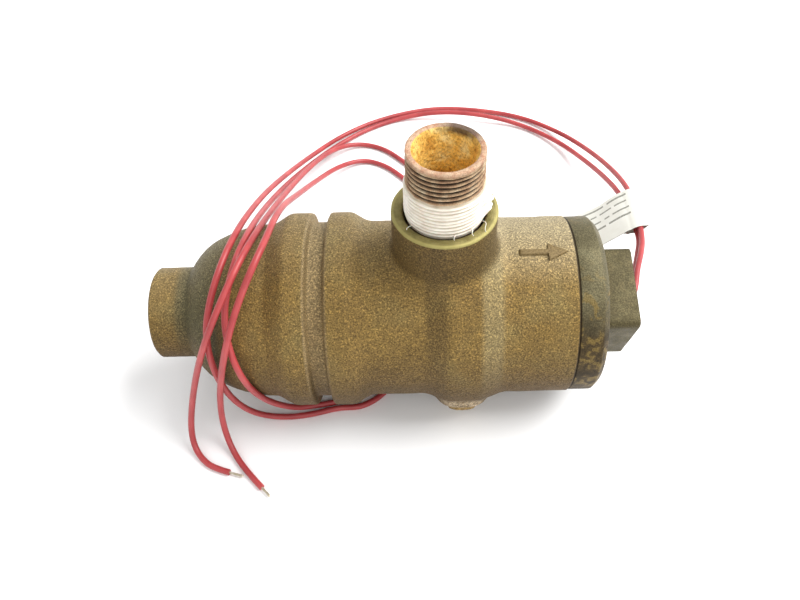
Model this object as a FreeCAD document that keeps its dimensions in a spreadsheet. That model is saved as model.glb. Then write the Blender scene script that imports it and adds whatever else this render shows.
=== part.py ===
import FreeCAD, Part
import math
import os
import re
import Sketcher
from FreeCAD import Placement, Rotation, Vector

# In-line shuttle flow switch: a bronze casting with an axial inlet port, a side outlet port,
# a screw-in bonnet that carries a stem with a reed switch, and a spring-loaded magnetic shuttle.
# Frame: +X along the casting from inlet to bonnet, +Z along the outlet port, the floor at z = 0,
# the origin under the middle of the casting and bonnet. Stations run along X from the inlet face.

DRIVING_SIZES = {
    # whole object
    "overall_length": 178.7, "axis_height": 37.0,
    # casting, outside
    "inlet_boss_radius": 17.4, "dome_start": 14.0, "shoulder": 25.3, "shoulder_radius": 28.5,
    "dome_arc_radius": 24.0, "brow": 45.7, "brow_radius": 33.2, "brow_arc_radius": 48.0,
    "rib_start": 52.1, "rib_radius": 37.0, "groove_start": 60.2, "groove_end": 66.9,
    "groove_slope": 1.0, "rib_end": 75.0, "rib_foot": 80.6, "shell_radius": 33.4,
    "ring_start": 101.5, "ring_crest_start": 109.5, "ring_crest_end": 121.0,
    "ring_end": 130.5, "bonnet_joint": 154.4,
    # casting, outlet boss and the bleed boss under the ring
    "outlet_station": 108.5, "outlet_boss_radius": 18.0, "outlet_face_height": 51.6,
    "pad_station": 115.2, "pad_radius": 8.5, "pad_reach": 38.3,
    "button_radius": 5.35, "button_reach": 40.3, "pad_angle": 45.0,
    # casting, inside
    "port_thread_radius": 12.35, "inlet_thread_length": 18.0, "outlet_thread_length": 20.0,
    "waterway_radius": 11.0, "cone_start": 24.0, "cone_end": 44.0, "cone_radius": 21.0,
    "seat_station": 50.0, "shuttle_bore_radius": 24.0, "chamber_start": 92.0,
    "chamber_radius": 26.5, "bonnet_thread_start": 134.0, "bonnet_thread_radius": 28.0,
    "seal_recess": 4.2, "seal_recess_radius": 28.6,
    # bonnet
    "flange_radius": 32.9, "bevel_start": 162.7, "flange_face": 164.8, "bevel_radius": 30.6,
    "spigot_radius": 27.95, "spigot_recess_radius": 23.5, "spigot_recess_depth": 13.0,
    "seal_neck_radius": 25.6, "seal_section_radius": 1.4, "hub_start": 117.0,
    "hub_radius": 10.0, "head_side": 31.4, "head_corner_radius": 2.0, "head_turn": 28.0,
    "potting_radius": 8.0, "potting_depth": 10.0, "lead_hole_radius": 4.0,
    "potting_sink": 4.0,
    # seat, stem and reed switch
    "seat_length": 5.0, "seat_orifice_radius": 14.0, "stem_radius": 5.0,
    "stem_bore_radius": 3.8, "stem_start": 48.0, "stem_end": 158.0, "clip_start": 50.9,
    "clip_width": 1.0, "clip_groove_radius": 4.5, "clip_radius": 7.0, "tip_length": 1.5,
    "tip_spigot": 2.0, "sleeve_start": 60.0, "sleeve_end": 106.0, "sleeve_bore_radius": 2.9,
    "sleeve_radius": 3.7, "reed_offset": 1.25, "glass_start": 65.5, "glass_end": 86.5,
    "glass_radius": 1.35, "glass_wall": 0.3, "glass_seal": 2.0, "wire_radius": 0.28,
    "seal_hole_radius": 0.3, "reed_lead_start": 62.0, "blade_width": 1.0,
    "blade_thickness": 0.2, "blade_lift": 0.45, "blade_lap": 2.0, "blade_gap": 0.4,
    "solder_start": 100.0, "solder_length": 3.0, "solder_radius": 0.6,
    # shuttle and spring
    "shuttle_start": 55.4, "shuttle_length": 26.0, "shuttle_radius": 23.6,
    "skirt_thickness": 3.0, "plate_thickness": 4.0, "shuttle_hub_end": 72.0,
    "shuttle_hub_radius": 8.0, "shuttle_bore": 5.4, "slot_radius": 4.5, "slot_count": 6,
    "magnet_length": 10.0, "magnet_radius": 12.5, "retainer_length": 1.5,
    "spring_mean_radius": 6.6, "spring_wire_radius": 0.55, "spring_turns": 9.0,
    "washer_length": 1.0, "washer_radius": 8.5, "washer_slack": 0.4, "slip": 0.05,
    # outlet nipple and tape
    "nipple_length": 34.7, "nipple_engaged": 9.3, "nipple_thread_length": 12.7,
    "nipple_thread_radius": 13.0, "nipple_radius": 13.33, "nipple_bore_radius": 10.45,
    "nipple_engaged_radius": 12.3, "tape_radius": 14.0,
    # leads
    "lead_radius": 1.2, "conductor_radius": 0.52, "label_length": 30.0, "label_flag": 26.0,
    "label_thickness": 0.4, "label_fold_width": 10.0, "label_fold_depth": 5.4,
}

# Where each lead runs, in the frame of the whole object, from the potting to its bare end.
LEAD_ROUTES = {
    "lead_wire_1": [
        (85.35, 0.0, 38.25), (89.85, 0.0, 38.25), (93.8, 2.2, 38.5), (96.2, 6.2, 38.8),
        (97.2, 12.5, 39.1), (99.8, 23.3, 38.0), (103.1, 35.2, 36.0), (105.6, 53.0, 33.0),
        (106.5, 72.9, 28.5), (105.2, 96.4, 19.5), (100.1, 123.6, 9.0), (89.8, 146.3, 2.5),
        (71.0, 162.4, 1.3), (48.0, 169.9, 1.3), (23.7, 173.0, 1.3), (2.5, 168.4, 1.3),
        (-16.0, 160.2, 1.3), (-31.6, 147.1, 2.5), (-42.9, 124.6, 10.0), (-50.1, 94.4, 25.0),
        (-54.2, 60.1, 44.0), (-55.1, 27.5, 62.0), (-55.6, 3.2, 73.0), (-58.1, -9.9, 72.5),
        (-61.3, -18.2, 66.5), (-63.9, -24.5, 58.0), (-64.1, -29.7, 48.5), (-63.0, -31.8, 35.0),
        (-61.0, -29.4, 17.0), (-55.4, -27.4, 5.0), (-45.2, -27.1, 1.3), (-34.0, -26.0, 1.3),
        (-23.6, -23.0, 1.3), (-12.5, -23.0, 1.3), (-2.0, -14.0, 1.3), (4.0, 1.0, 1.3),
        (8.0, 17.0, 1.3), (16.0, 34.0, 1.3), (28.0, 49.0, 1.3), (37.0, 65.0, 1.3), (38.5, 84.0, 1.3),
        (31.0, 101.0, 1.3), (17.0, 112.0, 1.3), (3.9, 127.8, 1.3), (-6.3, 138.5, 1.3),
        (-18.9, 143.3, 1.3), (-30.3, 136.3, 5.0), (-38.3, 116.9, 14.0), (-43.8, 87.8, 28.0),
        (-46.1, 53.4, 47.0), (-46.8, 20.4, 66.0), (-47.5, -3.7, 78.2), (-50.4, -16.4, 79.0),
        (-55.0, -23.7, 73.0), (-60.1, -29.1, 64.5), (-65.7, -32.0, 52.5), (-72.5, -31.0, 34.0),
        (-77.5, -32.3, 18.0), (-79.6, -36.3, 7.5), (-78.2, -41.3, 2.2), (-73.6, -46.5, 1.3),
        (-68.7, -49.1, 1.3), (-63.9, -50.6, 1.3)],
    "lead_wire_2": [
        (85.35, 0.0, 35.75), (89.75, 0.0, 35.75), (93.6, 2.2, 35.6), (95.9, 6.1, 35.5),
        (97.2, 12.5, 35.3), (100.0, 25.5, 34.5), (102.7, 37.4, 32.5), (104.1, 56.6, 29.0),
        (103.2, 75.1, 24.5), (101.4, 94.9, 16.5), (97.5, 116.2, 8.0), (88.6, 137.9, 2.5),
        (70.2, 155.7, 1.3), (48.3, 161.5, 4.5), (25.1, 165.3, 4.5), (3.7, 164.9, 1.5),
        (-14.3, 156.6, 1.3), (-29.8, 143.3, 2.0), (-41.9, 121.8, 8.0), (-49.1, 90.9, 23.0),
        (-51.8, 54.0, 44.0), (-50.7, 17.7, 66.8), (-50.9, -3.9, 76.5), (-53.3, -13.9, 73.8),
        (-55.7, -20.1, 67.5), (-56.4, -26.2, 61.0), (-55.7, -30.6, 52.5), (-53.4, -34.8, 44.8),
        (-51.3, -33.9, 32.0), (-47.5, -29.1, 16.0), (-40.4, -23.7, 2.8), (-31.8, -21.8, 1.3),
        (-17.0, -18.8, 1.3), (-7.0, -10.5, 1.3), (-1.8, 3.0, 1.3), (2.5, 18.5, 1.3), (10.5, 36.0, 1.3),
        (20.5, 50.0, 1.3), (27.5, 65.0, 1.3), (27.0, 81.0, 1.3), (19.0, 95.0, 1.3), (3.8, 114.7, 1.3),
        (-5.7, 124.9, 1.3), (-17.5, 129.9, 1.3), (-30.0, 119.9, 5.5), (-38.2, 93.8, 19.0),
        (-40.3, 51.6, 48.5), (-40.2, 17.6, 73.9), (-41.1, -8.9, 83.2), (-44.4, -18.8, 81.3),
        (-49.2, -23.0, 72.5), (-52.9, -29.7, 65.5), (-56.6, -33.9, 55.5), (-61.2, -34.2, 40.0),
        (-65.4, -33.5, 22.5), (-66.8, -35.1, 8.0), (-63.9, -41.4, 1.8), (-58.1, -49.5, 1.3),
        (-50.7, -57.1, 1.3)],
}
# Each bare conductor: its length, and the lead it comes out of.
CONDUCTORS = {"conductor_end_1": (6.0, "lead_wire_1"), "conductor_end_2": (5.0, "lead_wire_2")}
# The label: the near end of its fold round the leads, the way the leads run, the way the flag hangs.
LABEL_FOOT = Vector(103.2, 39.8, 33.6)
LABEL_ALONG = Vector(0.08, 0.975, -0.19)
LABEL_ACROSS = Vector(-0.87, -0.11, -0.47)

document = FreeCAD.newDocument("flow_switch")
sheet = document.addObject("Spreadsheet::Sheet", "Sizes")
for row, (alias, number) in enumerate(DRIVING_SIZES.items(), start=1):
    sheet.set(f"A{row}", alias)
    sheet.set(f"B{row}", str(number))
    sheet.setAlias(f"B{row}", alias)
document.recompute()

sub_parts = []


def from_sheet(formula):
    """The formula with each driving size read from the sheet."""
    def cell(word):
        return f"Sizes.{word[0]}" if word[0] in DRIVING_SIZES else word[0]
    return re.sub(r"[a-z_]+", cell, formula)


def value(formula):
    """The number that a formula of driving sizes gives."""
    return float(sheet.evalExpression(from_sheet(formula)))


def bind(feature, **formulas):
    for name, formula in formulas.items():
        feature.setExpression(name.replace("__", "."), from_sheet(formula))


# ---------------------------------------------------------------- sketches and bodies

def origin_plane(body, role):
    return next(feature for feature in body.Origin.OriginFeatures if feature.Role == role)


def sketch_on(body, name, role):
    sketch = body.newObject("Sketcher::SketchObject", name)
    sketch.AttachmentSupport = [(origin_plane(body, role), "")]
    sketch.MapMode = "FlatFace"
    return sketch


def pin_point(sketch, edge, end, across, up):
    """Hold one end of an edge at a place given by two formulas."""
    for kind, formula in (("DistanceX", across), ("DistanceY", up)):
        number = sketch.addConstraint(Sketcher.Constraint(kind, -1, 1, edge, end, value(formula)))
        sketch.setExpression(f"Constraints[{number}]", from_sheet(formula))


def arc_between(start, end, radius):
    """An arc from start to end; a positive radius bulges to the left of the way from start to end."""
    chord = end - start
    left = Vector(-chord.y, chord.x, 0).normalize()
    rise = math.sqrt(radius ** 2 - (chord.Length / 2) ** 2)
    side = math.copysign(1, radius)
    middle = start + chord / 2 + left * side * (abs(radius) - rise)
    return Part.Arc(start, middle, end)


def outline(sketch, points):
    """A closed outline. Each point is two formulas, and a third is the radius of the arc that follows."""
    places = [Vector(value(point[0]), value(point[1]), 0) for point in points]
    for number, point in enumerate(points):
        start = places[number]
        end = places[(number + 1) % len(points)]
        if len(point) == 2:
            edge = sketch.addGeometry(Part.LineSegment(start, end), False)
            first, last = 1, 2
        else:
            radius = value(point[2])
            edge = sketch.addGeometry(arc_between(start, end, radius), False)
            first, last = (2, 1) if radius > 0 else (1, 2)
            size = sketch.addConstraint(Sketcher.Constraint("Radius", edge, abs(radius)))
            sketch.setExpression(f"Constraints[{size}]", from_sheet(f"abs({point[2]})"))
        pin_point(sketch, edge, first, point[0], point[1])
        following = points[(number + 1) % len(points)]
        pin_point(sketch, edge, last, following[0], following[1])


def circle(sketch, across, up, radius):
    centre = Vector(value(across), value(up), 0)
    edge = sketch.addGeometry(Part.Circle(centre, Vector(0, 0, 1), value(radius)), False)
    pin_point(sketch, edge, 3, across, up)
    size = sketch.addConstraint(Sketcher.Constraint("Radius", edge, value(radius)))
    sketch.setExpression(f"Constraints[{size}]", from_sheet(radius))


def axial_body(label):
    """A body whose own X axis is the casting's axis, counted from the inlet face."""
    body = document.addObject("PartDesign::Body", label)
    body.Label = label
    bind(body, Placement__Base__x="-overall_length / 2", Placement__Base__z="axis_height")
    sub_parts.append(body)
    return body


def turned(body, feature, name, points, role="XZ_Plane", axis="H_Axis"):
    """Revolve an outline about an axis of its own sketch; feature is Revolution or Groove."""
    sketch = sketch_on(body, f"{name}_sketch", role)
    outline(sketch, points)
    turn = body.newObject(f"PartDesign::{feature}", name)
    turn.Profile = sketch
    turn.ReferenceAxis = (sketch, [axis])
    turn.Angle = 360
    document.recompute()
    return turn


def ring(label, start, end, inner, outer):
    """A plain turned ring, sleeve or washer."""
    body = axial_body(label)
    turned(body, "Revolution", f"{label}_turned",
           [(start, inner), (start, outer), (end, outer), (end, inner)])
    return body


def solid_node(label, shape):
    """A sub-part whose shape comes from Part's own functions."""
    feature = document.addObject("Part::Feature", label)
    feature.Label = label
    feature.Shape = shape
    sub_parts.append(feature)
    return feature


# ---------------------------------------------------------------- the casting

def make_valve_body():
    body = axial_body("valve_body")
    turned(body, "Revolution", "casting", [
        ("0", "0"), ("0", "inlet_boss_radius"),
        ("dome_start", "inlet_boss_radius", "dome_arc_radius"),
        ("shoulder", "shoulder_radius", "brow_arc_radius"),
        ("brow", "brow_radius"), ("rib_start", "rib_radius"), ("groove_start", "rib_radius"),
        ("groove_start + groove_slope", "shell_radius"),
        ("groove_end - groove_slope", "shell_radius"),
        ("groove_end", "rib_radius"), ("rib_end", "rib_radius"), ("rib_foot", "shell_radius"),
        ("ring_start", "shell_radius"), ("ring_crest_start", "rib_radius"),
        ("ring_crest_end", "rib_radius"), ("ring_end", "shell_radius"),
        ("bonnet_joint", "shell_radius"), ("bonnet_joint", "0")])
    outlet = sketch_on(body, "outlet_sketch", "XY_Plane")
    circle(outlet, "outlet_station", "0", "outlet_boss_radius")
    boss = body.newObject("PartDesign::Pad", "outlet_boss")
    boss.Profile = outlet
    bind(boss, Length="outlet_face_height")
    document.recompute()
    for name, radius, reach in (("bleed_pad", "pad_radius", "pad_reach"),
                                ("bleed_button", "button_radius", "button_reach")):
        lump = body.newObject("PartDesign::AdditiveCylinder", name)
        bind(lump, Radius=radius, Height=f"{reach} - shell_radius / 2")
        reach_in = value("shell_radius / 2")
        angle = math.radians(value("pad_angle"))
        outward = Vector(0, -math.cos(angle), -math.sin(angle))
        foot = Vector(value("pad_station"), 0, 0) + outward * reach_in
        lump.Placement = Placement(foot, Rotation(Vector(0, 0, 1), outward))
        document.recompute()
    turned(body, "Groove", "axial_bore", [
        ("0", "0"), ("0", "port_thread_radius"), ("inlet_thread_length", "port_thread_radius"),
        ("inlet_thread_length", "waterway_radius"), ("cone_start", "waterway_radius"),
        ("cone_end", "cone_radius"), ("seat_station", "cone_radius"),
        ("seat_station", "shuttle_bore_radius"), ("chamber_start", "shuttle_bore_radius"),
        ("chamber_start", "chamber_radius"), ("bonnet_thread_start", "chamber_radius"),
        ("bonnet_thread_start", "bonnet_thread_radius"),
        ("bonnet_joint - seal_recess", "bonnet_thread_radius"),
        ("bonnet_joint - seal_recess", "seal_recess_radius"),
        ("bonnet_joint", "seal_recess_radius"), ("bonnet_joint", "0")])
    before = body.Shape.Volume
    for name, radius, depth in (
            ("outlet_thread", "port_thread_radius", "outlet_thread_length"),
            ("outlet_waterway", "waterway_radius", "outlet_face_height - chamber_radius / 2")):
        sketch = sketch_on(body, f"{name}_sketch", "XY_Plane")
        bind(sketch, AttachmentOffset__Base__z="outlet_face_height")
        circle(sketch, "outlet_station", "0", radius)
        pocket = body.newObject("PartDesign::Pocket", name)
        pocket.Profile = sketch
        bind(pocket, Length=depth)
        document.recompute()
    if body.Shape.Volume >= before:
        raise RuntimeError("the outlet was not cut")


# ---------------------------------------------------------------- bonnet and its seal

def make_bonnet():
    body = axial_body("bonnet")
    turned(body, "Revolution", "bonnet_turned", [
        ("hub_start", "stem_radius"), ("hub_start", "hub_radius"),
        ("bonnet_thread_start + spigot_recess_depth", "hub_radius"),
        ("bonnet_thread_start + spigot_recess_depth", "spigot_recess_radius"),
        ("bonnet_thread_start", "spigot_recess_radius"), ("bonnet_thread_start", "spigot_radius"),
        ("bonnet_joint - seal_recess", "spigot_radius"),
        ("bonnet_joint - seal_recess", "seal_neck_radius"),
        ("bonnet_joint", "seal_neck_radius"), ("bonnet_joint", "flange_radius"),
        ("bevel_start", "flange_radius"), ("flange_face", "bevel_radius"),
        ("flange_face", "lead_hole_radius"), ("stem_end", "lead_hole_radius"),
        ("stem_end", "stem_radius")])
    head = body.newObject("PartDesign::AdditivePrism", "wrench_head")
    head.Polygon = 4
    bind(head, Circumradius="head_side / sqrt(2)", Height="overall_length - flange_face + 1")
    along = Rotation(Vector(0, 0, 1), Vector(1, 0, 0))
    turn = Rotation(Vector(1, 0, 0), 90 - value("head_turn"))
    head.Placement = Placement(Vector(value("flange_face - 1"), 0, 0), turn.multiply(along))
    document.recompute()
    corners = [f"Edge{number}" for number, edge in enumerate(head.Shape.Edges, start=1)
               if is_head_corner(edge)]
    rounding = body.newObject("PartDesign::Fillet", "head_corners")
    rounding.Base = (head, corners)
    bind(rounding, Radius="head_corner_radius")
    document.recompute()
    turned(body, "Groove", "potting_recess", [
        ("overall_length - potting_depth", "0"),
        ("overall_length - potting_depth", "potting_radius"),
        ("overall_length", "potting_radius"), ("overall_length", "0")])
    turned(body, "Groove", "lead_hole", [
        ("stem_end - 1", "0"), ("stem_end - 1", "lead_hole_radius"),
        ("overall_length - potting_depth / 2", "lead_hole_radius"),
        ("overall_length - potting_depth / 2", "0")])


def is_head_corner(edge):
    """True for the four long edges of the square head."""
    ends = [vertex.Point for vertex in edge.Vertexes]
    if len(ends) != 2 or abs(ends[0].x - ends[1].x) < 5:
        return False
    reach = math.hypot(ends[0].y, ends[0].z)
    return abs(reach - value("head_side / sqrt(2)")) < 0.1


def make_seal():
    body = axial_body("bonnet_o_ring")
    sketch = sketch_on(body, "seal_sketch", "XZ_Plane")
    circle(sketch, "bonnet_joint - seal_recess / 2", "seal_neck_radius + seal_section_radius",
           "seal_section_radius")
    turn = body.newObject("PartDesign::Revolution", "seal_turned")
    turn.Profile = sketch
    turn.ReferenceAxis = (sketch, ["H_Axis"])
    turn.Angle = 360
    document.recompute()


# ---------------------------------------------------------------- seat, stem and reed switch

def make_stem():
    ring("orifice_seat", "seat_station", "seat_station + seat_length", "seat_orifice_radius",
         "shuttle_bore_radius")
    stem = axial_body("stem_tube")
    turned(stem, "Revolution", "stem_turned", [
        ("stem_start", "stem_bore_radius"), ("stem_start", "stem_radius"),
        ("clip_start", "stem_radius"), ("clip_start", "clip_groove_radius"),
        ("clip_start + clip_width", "clip_groove_radius"),
        ("clip_start + clip_width", "stem_radius"), ("stem_end", "stem_radius"),
        ("stem_end", "stem_bore_radius")])
    plug = axial_body("stem_tip_plug")
    turned(plug, "Revolution", "tip_turned", [
        ("stem_start - tip_length", "0"), ("stem_start - tip_length", "stem_radius - tip_length"),
        ("stem_start", "stem_radius"), ("stem_start", "stem_bore_radius"),
        ("stem_start + tip_spigot", "stem_bore_radius"), ("stem_start + tip_spigot", "0")])
    ring("stem_retaining_ring", "clip_start", "clip_start + clip_width", "clip_groove_radius",
         "clip_radius")
    ring("reed_sleeve", "sleeve_start", "sleeve_end", "sleeve_bore_radius", "sleeve_radius")


def lowered(body):
    """Shift a reed part to its own line inside the stem."""
    bind(body, Placement__Base__z="axis_height - reed_offset")


def make_reed_switch():
    glass = axial_body("reed_glass")
    turned(glass, "Revolution", "glass_turned", [
        ("glass_start", "seal_hole_radius"), ("glass_start", "glass_radius"),
        ("glass_end", "glass_radius"), ("glass_end", "seal_hole_radius"),
        ("glass_end - glass_seal", "seal_hole_radius"),
        ("glass_end - glass_seal", "glass_radius - glass_wall"),
        ("glass_start + glass_seal", "glass_radius - glass_wall"),
        ("glass_start + glass_seal", "seal_hole_radius")])
    lowered(glass)
    middle = "(glass_start + glass_end) / 2"
    fixed = axial_body("reed_fixed_blade")
    turned(fixed, "Revolution", "fixed_lead", [
        ("reed_lead_start", "0"), ("reed_lead_start", "wire_radius"),
        ("glass_start + glass_seal + 1", "wire_radius"), ("glass_start + glass_seal + 1", "0")])
    blade(fixed, "fixed_blade", "glass_start + glass_seal", f"{middle} + blade_lap / 2", "")
    lowered(fixed)
    moving = axial_body("reed_moving_blade")
    blade(moving, "moving_blade", f"{middle} - blade_lap / 2",
          "glass_end - glass_seal - blade_gap", "-")
    lowered(moving)


def blade(body, name, start, end, side):
    """A flat reed blade, lifted off the glass's own axis to one side."""
    sketch = sketch_on(body, f"{name}_sketch", "XZ_Plane")
    near = f"{side}(blade_lift - blade_thickness)"
    far = f"{side}blade_lift"
    outline(sketch, [(start, near), (start, far), (end, far), (end, near)])
    pad = body.newObject("PartDesign::Pad", name)
    pad.Profile = sketch
    pad.SideType = "Symmetric"
    bind(pad, Length="blade_width")
    document.recompute()


def make_reed_leads():
    """The reed's right-hand lead, and the lead of its far end brought back beside the glass."""
    radius = value("wire_radius")
    lift = value("reed_offset")
    start = Vector(value("glass_end - glass_seal + slip - overall_length / 2"), 0,
                   value("axis_height - reed_offset"))
    stub = Part.makeCylinder(radius, value("solder_start - glass_end + glass_seal - slip"),
                             start, Vector(1, 0, 0))
    turn_back = Vector(value("reed_lead_start - overall_length / 2 - wire_radius"), 0,
                       value("axis_height - reed_offset"))
    top = turn_back + Vector(0, 0, 2 * lift)
    end = Vector(value("solder_start - overall_length / 2"), 0, top.z)
    riser = Part.makeCylinder(radius, 2 * lift, turn_back, Vector(0, 0, 1))
    run = Part.makeCylinder(radius, end.x - top.x, top, Vector(1, 0, 0))
    knee = Part.makeSphere(radius, top)
    foot = Part.makeSphere(radius, turn_back)
    solid_node("reed_leads", Part.makeCompound([stub, riser.fuse([run, knee, foot])]))


def side_by_side(radius, start, length):
    """Two equal cylinders along X, one above the other inside the stem."""
    x = value(f"{start} - overall_length / 2")
    pair = []
    for side in (-1, 1):
        z = value("axis_height") + side * value("reed_offset")
        pair.append(Part.makeCylinder(value(radius), value(length), Vector(x, 0, z),
                                      Vector(1, 0, 0)))
    return pair


def make_wiring():
    solid_node("solder_joints", Part.makeCompound(
        side_by_side("solder_radius", "solder_start", "solder_length")))
    inner = side_by_side("lead_radius", "solder_start + solder_length",
                         "overall_length - potting_sink - solder_start - solder_length")
    solid_node("inner_leads", Part.makeCompound(inner))
    start = Vector(value("overall_length / 2 - potting_depth"), 0, value("axis_height"))
    plug = Part.makeCylinder(value("potting_radius"), value("potting_depth - potting_sink"),
                             start, Vector(1, 0, 0))
    solid_node("potting_plug", plug.cut(inner))


# ---------------------------------------------------------------- shuttle and spring

def make_shuttle():
    body = axial_body("shuttle_body")
    turned(body, "Revolution", "shuttle_turned", [
        ("shuttle_start", "shuttle_bore"), ("shuttle_start", "shuttle_radius"),
        ("shuttle_start + shuttle_length", "shuttle_radius"),
        ("shuttle_start + shuttle_length", "shuttle_radius - skirt_thickness"),
        ("shuttle_start + plate_thickness", "shuttle_radius - skirt_thickness"),
        ("shuttle_start + plate_thickness", "shuttle_hub_radius"),
        ("shuttle_hub_end", "shuttle_hub_radius"), ("shuttle_hub_end", "shuttle_bore")])
    before = body.Shape.Volume
    sketch = sketch_on(body, "flow_slot_sketch", "YZ_Plane")
    circle(sketch, "shuttle_radius", "0", "slot_radius")
    slot = body.newObject("PartDesign::Pocket", "flow_slot")
    slot.Profile = sketch
    slot.Type = "ThroughAll"
    slot.Reversed = True
    document.recompute()
    if body.Shape.Volume >= before:
        raise RuntimeError("the flow slots were not cut")
    slots = body.newObject("PartDesign::PolarPattern", "flow_slots")
    slots.Originals = [slot]
    slots.Axis = (origin_plane(body, "X_Axis"), [""])
    slots.Angle = 360
    bind(slots, Occurrences="slot_count")
    body.Tip = slots
    document.recompute()
    magnet_start = "shuttle_start + plate_thickness"
    magnet_end = f"{magnet_start} + magnet_length"
    ring("shuttle_magnet", magnet_start, magnet_end, "shuttle_hub_radius", "magnet_radius")
    ring("magnet_retainer", magnet_end, f"{magnet_end} + retainer_length",
         "shuttle_hub_radius", "magnet_radius")


def make_spring():
    ring("spring_washer", "hub_start - washer_length", "hub_start", "stem_radius + washer_slack",
         "washer_radius")
    spring = axial_body("return_spring")
    sketch = sketch_on(spring, "spring_sketch", "XZ_Plane")
    bind(sketch, AttachmentOffset__Base__x="shuttle_hub_end + spring_wire_radius + slip")
    circle(sketch, "0", "spring_mean_radius", "spring_wire_radius")
    coil = spring.newObject("PartDesign::AdditiveHelix", "spring_coil")
    coil.Profile = sketch
    coil.ReferenceAxis = (sketch, ["H_Axis"])
    coil.Mode = "height-turns-angle"
    bind(coil, Turns="spring_turns",
         Height="hub_start - washer_length - shuttle_hub_end - 2 * (spring_wire_radius + slip)")
    document.recompute()


# ---------------------------------------------------------------- outlet nipple and tape

def outlet_body(label):
    """A body whose own Z axis is the outlet port's axis, counted from the boss's face."""
    body = document.addObject("PartDesign::Body", label)
    body.Label = label
    bind(body, Placement__Base__x="outlet_station - overall_length / 2",
         Placement__Base__z="axis_height + outlet_face_height")
    sub_parts.append(body)
    return body


def make_nipple():
    nipple = outlet_body("outlet_nipple")
    top = "nipple_length - nipple_engaged"
    turned(nipple, "Revolution", "nipple_turned", [
        ("nipple_bore_radius", "-nipple_engaged"), ("nipple_engaged_radius", "-nipple_engaged"),
        ("nipple_engaged_radius", "0"), ("nipple_radius", "0"),
        ("nipple_radius", f"{top} - nipple_thread_length"),
        ("nipple_thread_radius", f"{top} - nipple_thread_length"),
        ("nipple_thread_radius", top), ("nipple_bore_radius", top)], axis="V_Axis")
    tape = outlet_body("thread_tape")
    turned(tape, "Revolution", "tape_turned", [
        ("nipple_radius", "0"), ("tape_radius", "0"),
        ("tape_radius", f"{top} - nipple_thread_length"),
        ("nipple_radius", f"{top} - nipple_thread_length")], axis="V_Axis")


# ---------------------------------------------------------------- leads, bare ends and label

def lead_centre_line(label, points):
    """Straight runs joined by tangent arcs, as one wire and its length."""
    edges = []
    radii = []
    length = 0.0
    reached = points[0]
    for before, corner, after in zip(points, points[1:], points[2:]):
        incoming = (corner - before).normalize()
        outgoing = (after - corner).normalize()
        turn = incoming.getAngle(outgoing)
        reach = 0.45 * min((corner - before).Length, (after - corner).Length)
        radius = reach / math.tan(turn / 2)
        start = corner - incoming * reach
        end = corner + outgoing * reach
        inward = (outgoing - incoming).normalize()
        middle = corner + inward * (radius / math.cos(turn / 2) - radius)
        edges.append(Part.LineSegment(reached, start).toShape())
        edges.append(Part.Arc(start, middle, end).toShape())
        length += (start - reached).Length + radius * turn
        radii.append(radius)
        reached = end
    edges.append(Part.LineSegment(reached, points[-1]).toShape())
    length += (points[-1] - reached).Length
    print(label, "tightest radii", [round(radius, 1) for radius in sorted(radii)[:4]])
    return Part.Wire(edges), length


def make_leads():
    radius = value("lead_radius")
    for label, route in LEAD_ROUTES.items():
        points = [Vector(*place) for place in route]
        line, length = lead_centre_line(label, points)
        section = Part.Wire(Part.makeCircle(radius, points[0], points[1] - points[0]))
        tube = line.makePipeShell([section], True, False)
        full = math.pi * radius ** 2 * length
        print(label, "length", round(length, 1), "volume", round(tube.Volume, 1),
              "section by length", round(full, 1))
        if abs(tube.Volume - full) > 0.01 * full:
            raise RuntimeError(f"{label} is not a clean tube")
        solid_node(label, tube)
    for label, (bare, lead) in CONDUCTORS.items():
        before, end = [Vector(*place) for place in LEAD_ROUTES[lead][-2:]]
        solid_node(label, Part.makeCylinder(value("conductor_radius"), bare, end, end - before))


def make_label():
    """A fold round both leads with a flat flag on one side of it."""
    normal = LABEL_ALONG.cross(LABEL_ACROSS).normalize()
    across = normal.cross(LABEL_ALONG).normalize()
    turn = Rotation(LABEL_ALONG, across, normal, "XYZ")
    length = value("label_length")
    paper = value("label_thickness")
    width = value("label_fold_width")
    depth = value("label_fold_depth")
    fold = Part.makeBox(length, width, depth, Vector(0, -width / 2, -depth / 2))
    hollow = Part.makeBox(length, width - 2 * paper, depth - 2 * paper,
                          Vector(0, paper - width / 2, paper - depth / 2))
    flag = Part.makeBox(length, value("label_flag"), paper,
                        Vector(0, width / 2 - paper, -paper / 2))
    label = fold.cut(hollow).fuse(flag).removeSplitter()
    solid_node("lead_label", label).Placement = Placement(LABEL_FOOT, turn)


# ---------------------------------------------------------------- checks and files

def check_and_write():
    document.recompute()
    for thing in document.Objects:
        if "Invalid" in thing.State or "Error" in thing.State:
            raise RuntimeError(f"{thing.Name} did not recompute: {thing.State}")
    os.makedirs("parts", exist_ok=True)
    for part in sub_parts:
        if part.Shape.isNull() or not part.Shape.isValid():
            raise RuntimeError(f"{part.Label} has no valid shape")
        if not part.Shape.Solids:
            raise RuntimeError(f"{part.Label} has no solid")
        print(part.Label, len(part.Shape.Solids), round(part.Shape.Volume, 1))
        part.Shape.exportStep(f"parts/{part.Label}.step")


make_valve_body()
make_bonnet()
make_seal()
make_stem()
make_reed_switch()
make_reed_leads()
make_wiring()
make_shuttle()
make_spring()
make_nipple()
make_leads()
make_label()
check_and_write()
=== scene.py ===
import math
import bmesh
import bpy
import numpy as np
from mathutils import Matrix, Vector


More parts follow.
